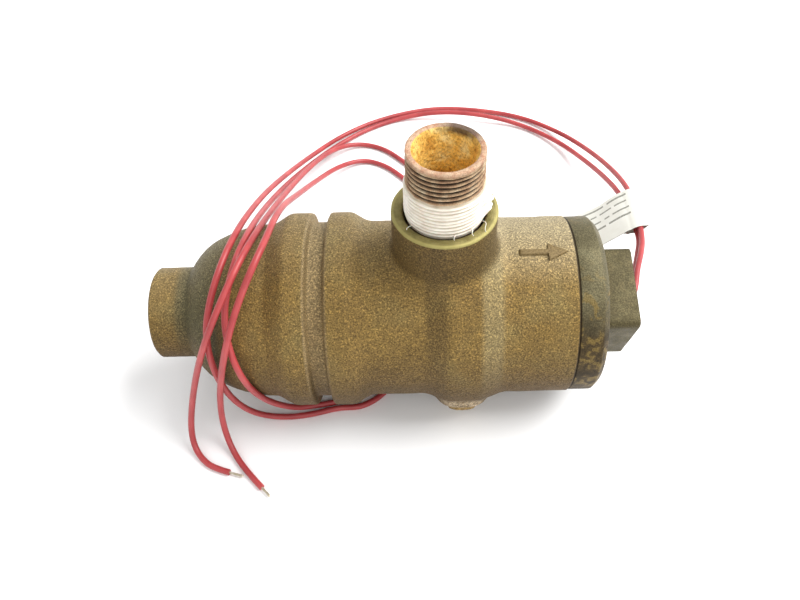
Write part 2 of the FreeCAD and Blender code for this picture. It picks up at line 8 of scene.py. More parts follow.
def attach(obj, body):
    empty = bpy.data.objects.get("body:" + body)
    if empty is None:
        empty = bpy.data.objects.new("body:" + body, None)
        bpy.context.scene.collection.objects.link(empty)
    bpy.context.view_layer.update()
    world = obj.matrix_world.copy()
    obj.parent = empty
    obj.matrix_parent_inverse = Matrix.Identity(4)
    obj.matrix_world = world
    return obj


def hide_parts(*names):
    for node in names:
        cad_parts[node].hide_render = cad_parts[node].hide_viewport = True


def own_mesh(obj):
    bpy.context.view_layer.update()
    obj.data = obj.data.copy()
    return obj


# In-line shuttle flow switch. Everything is in metres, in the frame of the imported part;
# shapes are worked out in millimetres and scaled by MM. The casting's axis is along X at z = AXIS.
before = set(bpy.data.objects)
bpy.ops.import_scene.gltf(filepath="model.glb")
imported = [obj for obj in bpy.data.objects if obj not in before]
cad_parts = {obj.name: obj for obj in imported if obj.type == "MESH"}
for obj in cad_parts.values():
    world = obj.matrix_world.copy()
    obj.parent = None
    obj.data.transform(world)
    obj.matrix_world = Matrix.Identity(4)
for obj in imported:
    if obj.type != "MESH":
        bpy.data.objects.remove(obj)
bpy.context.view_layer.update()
MM = 0.001
AXIS = 37.0
HALF = 89.35
JOINT_X = 154.4 - HALF
FLANGE_X = 164.8 - HALF
BARREL_RADIUS = 33.4
RIB_RADIUS = 36.95
OUTLET_X = 19.15
BOSS_RADIUS = 18.0
BOSS_TOP = 88.6
PORT_RADIUS = 12.35
NIPPLE_TOP = 114.0
NIPPLE_BORE = 10.45
# The rough casting runs on past its three ends, and cut_bores trims them.
PAST_END = 1.5
CASTING_END = 156.0
# The bleed pad and its button stand on the ring and point down and forward.
BLEED_FOOT = np.array([115.2 - HALF, 0, AXIS])
BLEED = np.array([0.0, -math.cos(math.pi / 4), -math.sin(math.pi / 4)])

# ---- camera, light and floor


def add_object(name, data):
    thing = bpy.data.objects.new(name, data)
    bpy.context.scene.collection.objects.link(thing)
    return thing


def make_camera():
    camera = add_object("camera", bpy.data.cameras.new("camera"))
    right = Vector((0.99948503, -0.00538717, -0.03163323))
    up = Vector((0.02412519, 0.77615489, 0.6300806))
    back = right.cross(up)
    turn = Matrix((right, up, back)).transposed().to_4x4()
    camera.matrix_world = Matrix.Translation(Vector((8.85, -177.52, 259.53)) * MM) @ turn
    camera.data.sensor_width = 36.0
    camera.data.lens = 33.165
    camera.data.clip_start = 0.01
    bpy.context.scene.camera = camera


def make_area(name, place, size, power):
    """A rectangular lamp that points at the part."""
    lamp = bpy.data.lights.new(name, "AREA")
    lamp.shape = "RECTANGLE"
    lamp.size, lamp.size_y = size
    lamp.energy = power
    holder = add_object(name, lamp)
    holder.location = place
    aim = Vector((0.0, 0.0, 0.03)) - Vector(place)
    holder.rotation_euler = aim.to_track_quat("-Z", "Y").to_euler()


def make_studio():
    world = bpy.data.worlds.new("studio")
    world.use_nodes = True
    background = world.node_tree.nodes["Background"]
    background.inputs["Color"].default_value = (1.0, 1.0, 1.0, 1.0)
    background.inputs["Strength"].default_value = 0.88
    bpy.context.scene.world = world
    bpy.context.scene.view_settings.view_transform = "Standard"
    make_area("key", (1.0, 0.25, 1.3), (1.3, 1.1), 41.0)
    make_area("front", (0.1, -1.0, 0.9), (0.8, 0.6), 2.5)
    bm = bmesh.new()
    bmesh.ops.create_grid(bm, x_segments=1, y_segments=1, size=3.0)
    mesh = bpy.data.meshes.new("floor")
    bm.to_mesh(mesh)
    bm.free()
    floor = add_object("floor", mesh)
    paper, _ = new_material("floor_paper", base=(0.93, 0.93, 0.93, 1), rough=0.9, specular=0.1)
    mesh.materials.append(paper)


# ---- materials


LOOKS = {}
SOCKETS = {"base": "Base Color", "rough": "Roughness", "metal": "Metallic", "specular": "Specular IOR Level",
           "under": "Subsurface Weight", "under_size": "Subsurface Scale", "clear": "Transmission Weight"}
SEAM_DIRT = (0.02, 0.015, 0.01)


def new_material(name, **values):
    """A material whose shader has the given values, named as in SOCKETS."""
    material = bpy.data.materials.new(f"{name}_look")
    material.use_nodes = True
    LOOKS[name] = material
    shader = material.node_tree.nodes["Principled BSDF"]
    for socket, value in values.items():
        shader.inputs[SOCKETS[socket]].default_value = value
    return material, shader


class Paint:
    """Builds one procedural material from object coordinates in millimetres."""

    def __init__(self, name, rough, metal=0.0, **values):
        self.material, self.shader = new_material(name, rough=rough, metal=metal, **values)
        self.links = self.material.node_tree.links
        coordinates = self.node("TexCoord")
        scale = self.node("VectorMath")
        scale.operation = "SCALE"
        scale.inputs["Scale"].default_value = 1 / MM
        self.links.new(coordinates.outputs["Object"], scale.inputs[0])
        self.place = scale.outputs["Vector"]

    def node(self, kind):
        return self.material.node_tree.nodes.new(f"ShaderNode{kind}")

    def stretched(self, factors):
        node = self.node("VectorMath")
        node.operation = "MULTIPLY"
        node.inputs[1].default_value = factors
        self.links.new(self.place, node.inputs[0])
        return node.outputs["Vector"]

    def noise(self, size, detail=2.0, place=None, rough=0.5, distortion=0.0):
        node = self.node("TexNoise")
        node.inputs["Scale"].default_value = 1.0 / size
        node.inputs["Detail"].default_value = detail
        node.inputs["Roughness"].default_value = rough
        node.inputs["Distortion"].default_value = distortion
        self.links.new(place or self.place, node.inputs["Vector"])
        return node.outputs["Fac"]

    def ramp(self, fac, stops):
        node = self.node("ValToRGB")
        node.color_ramp.elements.remove(node.color_ramp.elements[1])
        for number, (at, colour) in enumerate(stops):
            if number:
                element = node.color_ramp.elements.new(at)
            else:
                element = node.color_ramp.elements[0]
                element.position = at
            if isinstance(colour, (int, float)):
                colour = (colour, colour, colour)
            element.color = (*colour, 1)
        self.links.new(fac, node.inputs["Fac"])
        return node.outputs["Color"]

    def mix(self, fac, first, second, kind="MIX"):
        node = self.node("Mix")
        node.data_type = "RGBA"
        node.blend_type = kind
        # A colour mix has its colours at sockets 6 and 7, and its result at 2.
        for socket, item in ((node.inputs["Factor"], fac), (node.inputs[6], first),
                             (node.inputs[7], second)):
            if isinstance(item, (int, float)):
                socket.default_value = item
            elif isinstance(item, tuple):
                socket.default_value = (*item, 1)
            else:
                self.links.new(item, socket)
        return node.outputs[2]

    def math(self, kind, first, second=0.0, third=0.0):
        node = self.node("Math")
        node.operation = kind
        for socket, item in zip(node.inputs, (first, second, third)):
            if isinstance(item, (int, float)):
                socket.default_value = item
            else:
                self.links.new(item, socket)
        return node.outputs["Value"]

    def times(self, first, *others):
        for other in others:
            first = self.math("MULTIPLY", first, other)
        return first

    def tint(self, base, colour, *amounts):
        """The base mixed towards a colour by the product of the amounts."""
        return self.mix(self.times(*amounts), base, colour)

    def shade(self, base, factor):
        return self.mix(1.0, base, factor, "MULTIPLY")

    def outlet_radius(self, x, y):
        """The distance from the outlet's axis."""
        out = self.math("SUBTRACT", x, OUTLET_X)
        return self.math("SQRT", self.math("ADD", self.times(out, out), self.times(y, y)))

    def shaded_far_side(self, x, y, depth, soft):
        """1 on the nipple's far right side, where the rim and the bore's mouth get painted shade."""
        return self.times(self.band(y, depth, 14.0, soft), self.band(x, OUTLET_X + 3, OUTLET_X + 14, 6.0))

    def band(self, value, low, high, soft):
        """1 between low and high, falling to 0 over soft on each side."""
        rise = self.math("SMOOTH_MIN", self.math("DIVIDE", self.math("SUBTRACT", value, low - soft),
                                                 soft), 1.0, 0.05)
        fall = self.math("DIVIDE", self.math("SUBTRACT", high + soft, value), soft)
        both = self.math("MINIMUM", rise, fall)
        node = self.node("Clamp")
        self.links.new(both, node.inputs["Value"])
        return node.outputs["Result"]

    def axes(self):
        node = self.node("SeparateXYZ")
        self.links.new(self.place, node.inputs["Vector"])
        return node.outputs

    def bump(self, height, distance, strength=1.0, after=None):
        node = self.node("Bump")
        node.inputs["Distance"].default_value = distance * MM
        node.inputs["Strength"].default_value = strength
        self.links.new(height, node.inputs["Height"])
        if after is not None:
            self.links.new(after, node.inputs["Normal"])
        self.links.new(node.outputs["Normal"], self.shader.inputs["Normal"])
        return node.outputs["Normal"]

    def colour(self, source):
        self.links.new(source, self.shader.inputs["Base Color"])

    def rough(self, source):
        self.links.new(source, self.shader.inputs["Roughness"])



def cast_bronze():
    paint = Paint("cast_bronze", 0.6, 0.35, specular=0.3)
    x, y, z = paint.axes()
    grain = paint.noise(0.55, 3.0, rough=0.62)
    mottle = paint.noise(3.2, 3.0)
    blotch = paint.noise(17.0, 2.0)
    base = paint.ramp(blotch, [(0.3, (0.15, 0.094, 0.026)), (0.5, (0.19, 0.122, 0.035)),
                               (0.72, (0.185, 0.134, 0.048))])
    base = paint.tint(base, (0.135, 0.086, 0.029), paint.ramp(mottle, [(0.35, 0.0), (0.75, 0.55)]))
    # The groove, the inlet's neck, the dome's top, both sides of the ring (painted shade on the left flank,
    # partly a stain, and a painted highlight on the right flank) and painted shade that darkens the body
    # towards the bottom.
    for colour, *amounts in (
            ((0.245, 0.178, 0.095), paint.band(x, -29.6, -22.2, 0.7), 0.65),
            ((0.105, 0.09, 0.045), paint.band(x, -78.5, -74.2, 1.5), 0.55),
            ((0.066, 0.064, 0.034), paint.band(x, -75.5, -62.0, 6.0), paint.band(z, 46.0, 80.0, 16.0), 0.8),
            # Painted shade on the ring's left flank, partly a stain.
            ((0.09, 0.058, 0.022), paint.band(x, 13.5, 18.5, 2.0), 0.45),
            # A painted highlight on the ring's right flank.
            ((0.215, 0.176, 0.09), paint.band(x, 32.5, 38.0, 2.0), 0.55),
            # Painted shade: darker towards the bottom of the body.
            ((0.079, 0.046, 0.0135), paint.band(z, -10.0, 30.0, 22.0), 0.88)):
        base = paint.tint(base, colour, *amounts)
    # Lighter on the top towards the back, most at the right end: dust, and a painted highlight where the top
    # faces the light.
    dust_and_highlight = paint.times(paint.band(y, 8.0, 60.0, 24.0), paint.band(z, 50.0, 90.0, 12.0))
    right = paint.band(x, 40.0, 70.0, 16.0)
    base = paint.tint(base, (0.3, 0.25, 0.15), dust_and_highlight, 0.3)
    base = paint.tint(base, (0.35, 0.3, 0.195), dust_and_highlight, right, 0.7)
    radius = paint.outlet_radius(x, y)
    # Painted shade on the outlet boss's wall below its rim.
    shaded_boss_wall = paint.times(paint.band(radius, 10.0, 18.6, 2.2), paint.band(z, 72.0, BOSS_TOP - 1.2, 3.0))
    base = paint.tint(base, (0.08, 0.05, 0.015), shaded_boss_wall, 0.75)
    along = paint.times(paint.math("ADD", y, paint.math("SUBTRACT", z, AXIS)), -math.sqrt(0.5))
    lime = paint.times(paint.band(along, 33.4, 38.1, 2.2), paint.band(x, 20.0, 31.5, 4.0),
                       paint.band(z, 4.0, 17.5, 5.0))
    crust = paint.ramp(paint.noise(1.6, 4.0, rough=0.65), [(0.36, 0.15), (0.62, 0.85)])
    base = paint.tint(base, (0.52, 0.42, 0.3), lime, crust)
    button = paint.band(along, 39.0, 44.0, 0.6)
    base = paint.tint(base, (0.33, 0.22, 0.085), button, 0.6)
    base = paint.shade(base, paint.ramp(grain, [(0.34, (0.52, 0.5, 0.46)), (0.48, (0.92, 0.92, 0.9)),
                                                (0.59, (1.35, 1.32, 1.22)), (0.68, (2.3, 2.25, 2.0))]))
    face = paint.band(z, BOSS_TOP - 0.16, BOSS_TOP + 1.0, 0.12)
    # A painted highlight on the boss's outer edge, lighter than its olive face.
    edge = paint.band(radius, 17.2, 19.0, 0.5)
    olive = paint.ramp(mottle, [(0.35, (0.17, 0.142, 0.045)), (0.62, (0.255, 0.215, 0.078))])
    olive = paint.tint(olive, (0.38, 0.33, 0.11), edge, 0.6)
    base = paint.tint(base, olive, paint.band(z, BOSS_TOP - 0.6, BOSS_TOP + 1.0, 0.15))
    base = paint.tint(base, SEAM_DIRT, paint.band(x, 64.65, 65.2, 0.18), 0.8)
    paint.colour(base)
    paint.rough(paint.mix(face, paint.ramp(grain, [(0.3, 0.74), (0.7, 0.5)]), (0.42, 0.42, 0.42)))
    rough_bump = paint.bump(grain, 0.3, 0.8)
    paint.bump(mottle, 0.22, 0.5, rough_bump)


def bonnet_bronze():
    paint = Paint("bonnet_bronze", 0.5, 0.4, specular=0.2)
    x, y, z = paint.axes()
    grain = paint.noise(0.5, 3.0, rough=0.6)
    wide = paint.noise(6.0, 3.0)
    patch = paint.noise(3.6, 4.0, distortion=0.6)
    base = paint.ramp(wide, [(0.32, (0.098, 0.084, 0.044)), (0.55, (0.118, 0.102, 0.054)),
                             (0.75, (0.14, 0.124, 0.068))])
    flange = paint.band(x, 64.0, 75.3, 0.6)
    under = paint.band(z, -10.0, 52.0, 12.0)
    # Darker and patchy towards the bottom of the flange.
    dark_patches = paint.ramp(patch, [(0.4, (0.03, 0.019, 0.008)), (0.58, (0.075, 0.047, 0.016))])
    base = paint.tint(base, dark_patches, flange, under, 0.9)
    low = paint.band(z, 12.0, 62.0, 8.0)
    worn = paint.ramp(patch, [(0.53, 0.0), (0.6, 0.8)])
    here = paint.math("ADD", paint.times(flange, 0.8), 0.1)
    base = paint.tint(base, (0.17, 0.116, 0.034), worn, low, here)
    base = paint.shade(base, paint.ramp(grain, [(0.34, 0.62), (0.5, 0.98), (0.66, 1.5)]))
    head = paint.band(x, 75.6, 95.0, 0.3)
    base = paint.tint(base, paint.shade(base, (0.62, 0.58, 0.48)), head, 0.85)
    base = paint.tint(base, SEAM_DIRT, paint.band(x, 64.9, 65.4, 0.15), 0.8)
    paint.colour(base)
    paint.rough(paint.ramp(patch, [(0.3, 0.62), (0.7, 0.46)]))
    paint.bump(paint.mix(0.4, grain, patch), 0.22, 0.6)


def rusty_steel():
    paint = Paint("rusty_steel", 0.68, 0.25)
    x, y, z = paint.axes()
    grain = paint.noise(0.35, 4.0, rough=0.7)
    wide = paint.noise(4.0, 3.0)
    base = paint.ramp(wide, [(0.3, (0.19, 0.1, 0.052)), (0.5, (0.31, 0.2, 0.11)),
                             (0.72, (0.44, 0.35, 0.23))])
    radius = paint.outlet_radius(x, y)
    # Painted shade and highlight on the thread: darker in its roots, lighter on its crests.
    depth = paint.ramp(paint.math("SUBTRACT", radius, 12.0), [(0.0, 0.16), (0.4, 0.85), (0.8, 1.4)])
    base = paint.shade(base, paint.mix(paint.band(z, 90.0, 112.5, 0.4), (1.0, 1.0, 1.0), depth))
    rim = paint.band(z, 113.3, 115.0, 0.5)
    rim_look = paint.ramp(paint.noise(1.8, 4.0), [(0.35, (0.42, 0.2, 0.115)), (0.62, (0.56, 0.4, 0.27))])
    base = paint.tint(base, rim_look, rim, 0.8)
    # Painted shade on the rim's far right side.
    base = paint.tint(base, (0.05, 0.035, 0.025), paint.shaded_far_side(x, y, 7.0, 5.0), rim, 0.8)
    base = paint.shade(base, paint.ramp(grain, [(0.3, 0.55), (0.5, 0.98), (0.7, 1.5)]))
    paint.colour(base)
    paint.bump(grain, 0.28, 0.7)


def bore_deposit():
    paint = Paint("bore_deposit", 0.85)
    x, y, z = paint.axes()
    crumb = paint.noise(0.9, 5.0, rough=0.7)
    wide = paint.noise(5.5, 3.0)
    base = paint.ramp(wide, [(0.3, (0.72, 0.38, 0.06)), (0.5, (0.93, 0.6, 0.14)),
                             (0.7, (0.95, 0.78, 0.36))])
    base = paint.shade(base, paint.ramp(crumb, [(0.32, (0.4, 0.33, 0.24)), (0.5, (0.95, 0.95, 0.95)),
                                                (0.66, (1.25, 1.22, 1.15))]))
    mouth = paint.band(z, 112.6, 115.0, 1.6)
    # Painted shade at the bore's mouth on its far right side.
    base = paint.tint(base, (0.06, 0.035, 0.02), mouth, paint.shaded_far_side(x, y, 8.0, 6.0), 0.9)
    paint.colour(base)
    paint.bump(crumb, 0.9, 0.9)


def ptfe_tape():
    paint = Paint("ptfe_tape", 0.5, under=0.12, under_size=0.0008)
    x, y, z = paint.axes()
    fibre = paint.noise(0.5, 3.0, place=paint.stretched((0.25, 0.25, 2.0)))
    wide = paint.noise(4.5, 2.0)
    base = paint.ramp(wide, [(0.35, (0.74, 0.68, 0.58)), (0.65, (0.84, 0.8, 0.71))])
    base = paint.shade(base, paint.ramp(fibre, [(0.36, 0.88), (0.6, 1.05)]))
    # Painted shade in the tape's creases, darker where it lies low.
    proud = paint.math("SUBTRACT", paint.outlet_radius(x, y), 12.8)
    base = paint.shade(base, paint.ramp(proud, [(0.2, (0.62, 0.56, 0.47)), (0.55, (1.0, 1.0, 1.0))]))
    paint.colour(base)
    paint.bump(fibre, 0.12, 0.6)


def lead_insulation():
    paint = Paint("lead_insulation", 0.42, under=0.1, under_size=0.0006)
    wide = paint.noise(9.0, 2.0)
    fine = paint.noise(0.35, 2.0)
    paint.colour(paint.ramp(wide, [(0.3, (0.32, 0.032, 0.035)), (0.55, (0.39, 0.045, 0.047)),
                                   (0.75, (0.45, 0.066, 0.064))]))
    paint.bump(fine, 0.03, 0.3)


def simple(name, dark, light, rough, metal, size=1.0, depth=0.05, stretch=(1, 1, 1), **values):
    """A material for a small piece: two tones of one noise, and its bump."""
    paint = Paint(name, rough, metal, **values)
    grain = paint.noise(size, 3.0, place=paint.stretched(stretch))
    paint.colour(paint.ramp(grain, [(0.3, dark), (0.7, light)]))
    paint.bump(grain, depth, 0.5)


# ---- mesh helpers


def add_mesh(name, points, faces, *looks):
    """A smooth-shaded mesh object from points in mm."""
    mesh = bpy.data.meshes.new(name)
    mesh.from_pydata([tuple(p) for p in np.array(points) * MM], [], [tuple(f) for f in faces])
    mesh.validate()
    for look in looks:
        mesh.materials.append(LOOKS[look])
    mesh.shade_smooth()
    return add_object(name, mesh)


def join(thing, *others):
    with bpy.context.temp_override(active_object=thing, selected_editable_objects=[thing, *others]):
        bpy.ops.object.join()


def finish_piece(thing, slot, *nodes):
    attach(thing, "valve")
    if nodes:
        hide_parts(*nodes)
    return thing


def circle(segments):
    return np.linspace(0, 2 * np.pi, segments, endpoint=False)


def grid_faces(rows, count, first=0, closed=False):
    """Faces between rings of count points each; closed joins the last ring to the first one."""
    faces = []
    for row in range(rows if closed else rows - 1):
        near, far = first + row * count, first + (row + 1) % rows * count
        for k in range(count):
            after = (k + 1) % count
            faces.append((near + k, near + after, far + after, far + k))
    return faces


def close_ends(points, faces, segments, ends):
    """Closes the first and the last ring with a fan of faces round each of two points in mm."""
    count = len(points)
    for number in range(segments):
        after = (number + 1) % segments
        faces.append((count, number, after))
        faces.append((count + 1, count - segments + after, count - segments + number))
    return np.vstack([points, ends])


def revolved(profile, segments=192, axis="X", centre=(0.0, 0.0, AXIS), closed=True):
    """Points and faces of an outline (along, radius) in mm turned about an axis; closed joins its ends."""
    angles = circle(segments)
    along = np.array([p[0] for p in profile])[:, None]
    radius = np.array([p[1] for p in profile])[:, None]
    across, up = radius * np.cos(angles), radius * np.sin(angles)
    along = along + 0 * across
    grid = (along, across, up) if axis == "X" else (across, up, along)
    points = np.stack(grid, -1).reshape(-1, 3) + np.array(centre)
    faces = grid_faces(len(profile), segments, closed=closed)
    if axis == "X":
        faces = [face[::-1] for face in faces]
    return points, faces


def mesh_points(mesh):
    places = np.zeros(len(mesh.vertices) * 3)
    mesh.vertices.foreach_get("co", places)
    return places.reshape(-1, 3) / MM


def move_points(mesh, points):
    mesh.vertices.foreach_set("co", (points * MM).ravel())
    mesh.update()


def apply_modifiers(thing):
    depsgraph = bpy.context.evaluated_depsgraph_get()
    mesh = bpy.data.meshes.new_from_object(thing.evaluated_get(depsgraph))
    thing.modifiers.clear()
    old = thing.data
    thing.data = mesh
    bpy.data.meshes.remove(old)


def rounded(outline, step=0.5, closed=False):
    """An outline in mm whose corners are rounded by each point's third number."""
    places = [np.array(p[:2], float) for p in outline]
    radii = [p[2] if len(p) > 2 else 0.0 for p in outline]
    count = len(places)
    result = []
    for number, (corner, radius) in enumerate(zip(places, radii)):
        if not closed and number in (0, count - 1) or radius == 0:
            result.append(corner)
            continue
        before, after = places[number - 1], places[(number + 1) % count]
        one, two = before - corner, after - corner
        one_length, two_length = np.linalg.norm(one), np.linalg.norm(two)
        one, two = one / one_length, two / two_length
        half = math.acos(float(np.clip(one @ two, -1, 1))) / 2
        reach = min(radius / math.tan(half), 0.49 * one_length, 0.49 * two_length)
        radius = reach * math.tan(half)
        middle = corner + (one + two) / np.linalg.norm(one + two) * (radius / math.sin(half))
        start, end = corner + one * reach - middle, corner + two * reach - middle
        first, last = math.atan2(start[1], start[0]), math.atan2(end[1], end[0])
        turn = (last - first + math.pi) % (2 * math.pi) - math.pi
        pieces = max(2, int(abs(turn) * radius / step))
        for piece in range(pieces + 1):
            angle = first + turn * piece / pieces
            result.append(middle + radius * np.array([math.cos(angle), math.sin(angle)]))
    return result


def arc_points(start, end, radius, count=14):
    """Points on the arc between two outline points; it bulges to the left of the way from start to end."""
    start, end = np.array(start, float), np.array(end, float)
    chord = end - start
    length = np.linalg.norm(chord)
    left = np.array([-chord[1], chord[0]]) / length
    centre = (start + end) / 2 - left * math.sqrt(radius ** 2 - (length / 2) ** 2)
    one, two = start - centre, end - centre
    first = math.atan2(one[1], one[0])
    turn = (math.atan2(two[1], two[0]) - first + math.pi) % (2 * math.pi) - math.pi
    return [tuple(centre + radius * np.array([math.cos(first + turn * k / count),
                                              math.sin(first + turn * k / count)]))
            for k in range(1, count)]


# ---- the casting

OUTSIDE = rounded(
    [(-PAST_END, 0), (-PAST_END, 17.4), (14.0, 17.4, 1.6)]
    + arc_points((14.0, 17.4), (25.3, 28.5), 24.0)
    + [(25.3, 28.5)] + arc_points((25.3, 28.5), (45.7, 33.2), 48.0)
    + [(45.7, 33.2, 7.0), (52.1, RIB_RADIUS, 4.0), (60.2, RIB_RADIUS, 0.9),
       (60.9, BARREL_RADIUS, 0.8), (66.2, BARREL_RADIUS, 0.8), (66.9, RIB_RADIUS, 0.9),
       (75.0, RIB_RADIUS, 7.0), (80.6, BARREL_RADIUS, 7.0), (101.5, BARREL_RADIUS, 9.0),
       (109.5, RIB_RADIUS, 8.0), (121.0, RIB_RADIUS, 8.0), (130.5, BARREL_RADIUS, 9.0),
       (CASTING_END, BARREL_RADIUS), (CASTING_END, 0)])
MIRRORED = OUTSIDE + [np.array([p[0], -p[1]]) for p in reversed(OUTSIDE[1:-1])]


def polyline_distance(points, outline):
    """Signed distance of 2-D points from a closed outline, less than 0 inside it."""
    best = np.full(len(points), 1e9)
    inside = np.zeros(len(points), bool)
    px, py = points[:, 0], points[:, 1]
    for start, end in zip(outline, outline[1:] + outline[:1]):
        way = end - start
        size = way @ way
        if size < 1e-12:
            continue
        t = np.clip(((px - start[0]) * way[0] + (py - start[1]) * way[1]) / size, 0, 1)
        best = np.minimum(best, np.hypot(px - start[0] - t * way[0], py - start[1] - t * way[1]))
        crosses = (start[1] > py) != (end[1] > py)
        with np.errstate(divide="ignore", invalid="ignore"):
            cut = start[0] + (py - start[1]) * way[0] / way[1]
        inside ^= crosses & (px < cut)
    return np.where(inside, -best, best)


def smooth_min(one, two, width):
    h = np.clip(0.5 + 0.5 * (two - one) / width, 0, 1)
    return two * (1 - h) + one * h - width * h * (1 - h)


def capped_cylinder(points, foot, way, reach, radius, soft):
    """Signed distance from a cylinder that starts at foot and has a softened rim at reach."""
    from_foot = points - foot
    along = from_foot @ way
    across = np.linalg.norm(from_foot - along[:, None] * way, axis=1)
    over, out = np.maximum(along - (reach - soft), -along), across - (radius - soft)
    return (np.minimum(np.maximum(over, out), 0)
            + np.hypot(np.maximum(over, 0), np.maximum(out, 0)) - soft)


def casting_distance(points):
    """Signed distance in mm of points from the casting's outside, with its soft roots."""
    flat = np.stack([points[:, 0] + HALF, np.hypot(points[:, 1], points[:, 2] - AXIS)], 1)
    shell = polyline_distance(flat, MIRRORED)
    boss = capped_cylinder(points, np.array([OUTLET_X, 0, AXIS]), np.array([0, 0, 1.0]),
                           BOSS_TOP + PAST_END - AXIS, BOSS_RADIUS, 0.5)
    pad = capped_cylinder(points, BLEED_FOOT, BLEED, 38.3, 8.4, 2.2)
    button = capped_cylinder(points, BLEED_FOOT, BLEED, 40.25, 5.35, 0.5)
    whole = smooth_min(shell, boss, 4.0)
    whole = smooth_min(whole, pad, 4.5)
    return smooth_min(whole, button, 1.2)


def ripple(points, size, seed):
    """A smooth repeatable unevenness from a few crossed waves, about -1 to 1."""
    source = np.random.default_rng(seed)
    total = np.zeros(len(points))
    for _ in range(9):
        way = source.normal(size=3)
        way /= np.linalg.norm(way)
        total += np.sin(points @ way * 2 * np.pi / (size * source.uniform(0.7, 1.5))
                        + source.uniform(0, 6.28))
    return total / 4.0


def make_arrow():
    """A plain raised flow arrow, cast on the body's top, that points from inlet to bonnet."""
    reach = [(-8.6, 0.9), (-8.3, 1.2), (1.6, 1.2), (1.7, 3.5), (2.0, 3.55), (8.3, 0.25), (8.7, 0.02)]
    middle_x, middle_angle, sides = 53.6, math.radians(96.5), 15
    rows = []
    for (one, wide_one), (two, wide_two) in zip(reach, reach[1:]):
        for k in range(12):
            rows.append((one + (two - one) * k / 12, wide_one + (wide_two - wide_one) * k / 12))
    rows.append(reach[-1])
    points = []
    for along, wide in rows:
        ends = min(along - reach[0][0], reach[-1][0] - along)
        for side in np.linspace(-1, 1, sides):
            inner = min(wide * (1 - abs(side)) * 1.9, ends * 1.9, 1.0)
            angle = middle_angle + (wide + 0.15) * side / BARREL_RADIUS
            radius = 33.3 + (0.95 * math.sin(inner * math.pi / 2) - 0.2)
            points.append((middle_x + along, radius * math.cos(angle), AXIS + radius * math.sin(angle)))
    faces = [(row * sides + k, (row + 1) * sides + k, (row + 1) * sides + k + 1, row * sides + k + 1)
             for row in range(len(rows) - 1) for k in range(sides - 1)]
    arrow = add_mesh("flow_arrow", points, faces, "arrow_bronze")
    finish_piece(arrow, "cast_bronze")


def rough_casting():
    """The casting's outside as overlapping closed lumps, for the voxel remesh to join."""
    segments = 240
    points, faces = revolved([p - np.array([HALF, 0]) for p in OUTSIDE[1:-1]], segments, closed=False)
    points = close_ends(points, faces, segments, [[-PAST_END - HALF, 0, AXIS], [CASTING_END - HALF, 0, AXIS]])
    block = add_mesh("valve_body_skin", points, faces, "cast_bronze")
    lumps = []
    outlet_foot, upwards = (OUTLET_X, 0, AXIS), (0, 0, 1)
    for place, way, reach, radius in ((outlet_foot, upwards, BOSS_TOP + PAST_END - AXIS, BOSS_RADIUS),
                                      (BLEED_FOOT, BLEED, 40.0, 5.2), (BLEED_FOOT, BLEED, 38.0, 8.4),
                                      (BLEED_FOOT, BLEED, 35.0, 11.0), (outlet_foot, upwards, 37.5, 20.5)):
        bm = bmesh.new()
        way = Vector(way)
        turn = way.to_track_quat("Z", "Y").to_matrix().to_4x4()
        middle = Vector(place) * MM + way * (reach * MM / 2)
        bmesh.ops.create_cone(bm, cap_ends=True, segments=96, radius1=radius * MM, radius2=radius * MM,
                              depth=reach * MM, matrix=Matrix.Translation(middle) @ turn)
        mesh = bpy.data.meshes.new("lump")
        bm.to_mesh(mesh)
        bm.free()
        lumps.append(add_object("lump", mesh))
    join(block, *lumps)
    remesh = block.modifiers.new("remesh", "REMESH")
    remesh.mode = "VOXEL"
    remesh.voxel_size = 0.6 * MM
    apply_modifiers(block)
    return block


def make_casting():
    block = rough_casting()
    points = mesh_points(block.data)
    # A few Newton steps put each point on the casting's true outside.
    probe = 0.05
    for _ in range(4):
        here = casting_distance(points)
        moved = [casting_distance(points + np.eye(3)[k] * probe) - here for k in range(3)]
        slope = np.stack(moved, 1) / probe
        size = np.maximum((slope ** 2).sum(1), 0.3)
        points = points - slope * (here / size)[:, None] * 0.9
    slope /= np.maximum(np.linalg.norm(slope, axis=1), 0.3)[:, None]
    # The cast unevenness fades out near the floor.
    above_floor = np.clip((points[:, 2] - 6.0) / 6.0, 0, 1)
    lift = (0.07 * ripple(points, 11.0, 3) + 0.035 * ripple(points, 4.0, 5)) * above_floor - 0.1
    points = points + slope * lift[:, None]
    points[:, 2] = np.maximum(points[:, 2], 0.0)
    move_points(block.data, points)
    cut_bores(block)
    mesh = block.data
    mesh.materials.clear()
    mesh.materials.append(LOOKS["cast_bronze"])
    mesh.materials.append(LOOKS["turned_bronze"])
    for polygon in mesh.polygons:
        middle = polygon.center / MM
        in_inlet = middle.x < -60 and math.hypot(middle.y, middle.z - AXIS) < 13.5
        if in_inlet or middle.x > 154.3 - HALF:
            polygon.material_index = 1
    mesh.shade_smooth()
    mesh.set_sharp_from_angle(angle=math.radians(50))
    finish_piece(block, "cast_bronze", "valve_body")


